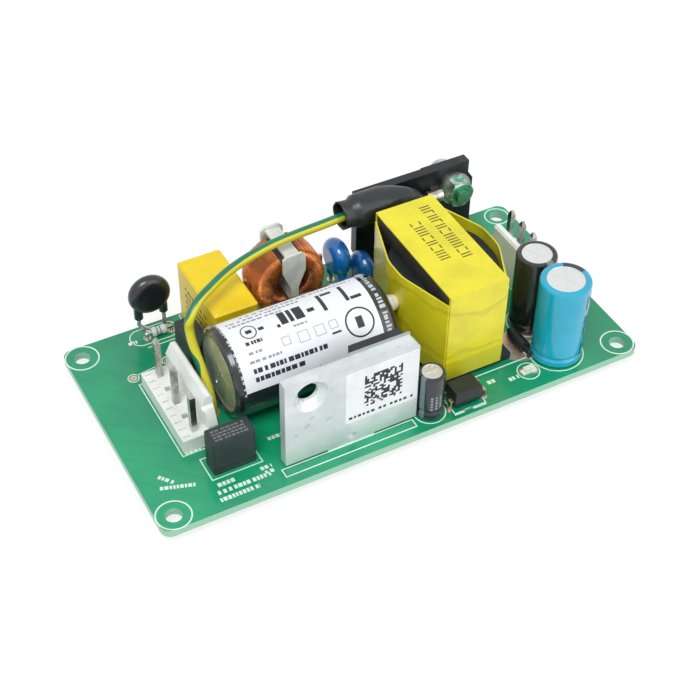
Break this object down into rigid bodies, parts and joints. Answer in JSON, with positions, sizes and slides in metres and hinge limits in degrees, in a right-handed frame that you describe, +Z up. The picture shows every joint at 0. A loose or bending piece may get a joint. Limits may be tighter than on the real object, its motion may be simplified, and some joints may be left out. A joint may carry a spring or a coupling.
{
  "type": "open frame power supply",
  "caption": "Open frame power supply: green board with mains and output headers, transformer, toroidal choke, lying bulk capacitor, upright capacitors and two heatsink plates.",
  "frame": {"origin": "centre of the mounting hole pattern on the underside of the board", "axes": "+X along the board from the mains header to the output header, +Y across the board to the rear heatsink, +Z up from the board"},
  "size_m": [0.1016, 0.0508, 0.0273],
  "materials": {
    "board_green": "glossy green solder mask over glass laminate",
    "solder": "bright solder",
    "header_nylon": "moulded white nylon",
    "tinned_wire": "bright tin plating",
    "fuse_black": "moulded black, satin",
    "epoxy_black": "dipped epoxy, satin",
    "resistor_pale": "pale lacquer",
    "capacitor_yellow": "moulded yellow, satin",
    "ferrite_black": "sintered ferrite, dull",
    "divider_white": "moulded white, translucent",
    "copper_wire": "enamelled copper",
    "epoxy_blue": "dipped blue epoxy, glossy",
    "can_aluminium": "bright drawn can",
    "sleeve_black": "shrunk sleeve, glossy",
    "bung_rubber": "dull",
    "label_white": "printed paper, satin",
    "heatsink_aluminium": "bright rolled sheet",
    "sticker_white": "satin paper",
    "pad_grey": "silicone sheet",
    "moulding_black": "moulded epoxy, satin",
    "heatsink_black": "black anodised, satin",
    "plated_steel": "zinc plating",
    "wire_insulation": "green insulation with a yellow stripe",
    "shrink_black": "heat-shrunk sleeve, satin",
    "tape_yellow": "polyester tape, satin",
    "sleeve_cyan": "shrunk sleeve, glossy",
    "clear_light": "clear epoxy",
    "chip_ceramic": "fired ceramic",
    "silicone_white": "cured silicone, glossy"
  },
  "bodies": {
    "root": {"circuit_board": "board_green", "solder_joints": "solder", "input_header": "header_nylon", "input_header_pins": "tinned_wire", "output_header": "header_nylon", "output_header_pins": "tinned_wire", "line_fuse": "fuse_black", "neutral_fuse": "fuse_black", "fuse_leads": "tinned_wire", "thermistor": "epoxy_black", "thermistor_leads": "tinned_wire", "bleed_resistor": "resistor_pale", "bleed_resistor_leads": "tinned_wire", "interference_capacitor": "capacitor_yellow", "interference_capacitor_leads": "tinned_wire", "choke_core": "ferrite_black", "choke_divider": "divider_white", "choke_winding_left": "copper_wire", "choke_winding_right": "copper_wire", "choke_leads": "copper_wire", "safety_capacitor_left": "epoxy_blue", "safety_capacitor_right": "epoxy_blue", "safety_capacitor_leads": "tinned_wire", "bulk_capacitor_can": "can_aluminium", "bulk_capacitor_sleeve": "sleeve_black", "bulk_capacitor_bung": "bung_rubber", "bulk_capacitor_leads": "tinned_wire", "rating_label": "label_white", "front_heatsink": "heatsink_aluminium", "heatsink_sticker": "sticker_white", "thermal_pad": "pad_grey", "switching_transistor": "moulding_black", "transistor_leads": "tinned_wire", "rear_heatsink": "heatsink_black", "output_rectifier": "moulding_black", "rectifier_leads": "tinned_wire", "earth_screw": "plated_steel", "earth_washer": "plated_steel", "earth_nut": "plated_steel", "earth_terminal": "tinned_wire", "earth_wire": "wire_insulation", "ferrite_sleeve": "shrink_black", "ferrite_bead": "ferrite_black", "transformer_core": "ferrite_black", "transformer_bobbin": "moulding_black", "transformer_winding": "copper_wire", "transformer_tape": "tape_yellow", "transformer_pins": "tinned_wire", "large_output_capacitor": "sleeve_cyan", "slim_output_capacitor": "sleeve_black", "control_capacitor": "sleeve_black", "capacitor_leads": "tinned_wire", "optocoupler": "moulding_black", "optocoupler_leads": "tinned_wire", "snubber_diode": "moulding_black", "indicator_light": "clear_light", "controller_chip": "moulding_black", "surface_mount_parts": "chip_ceramic", "adhesive_dabs": "silicone_white"}
  },
  "joints": []
}
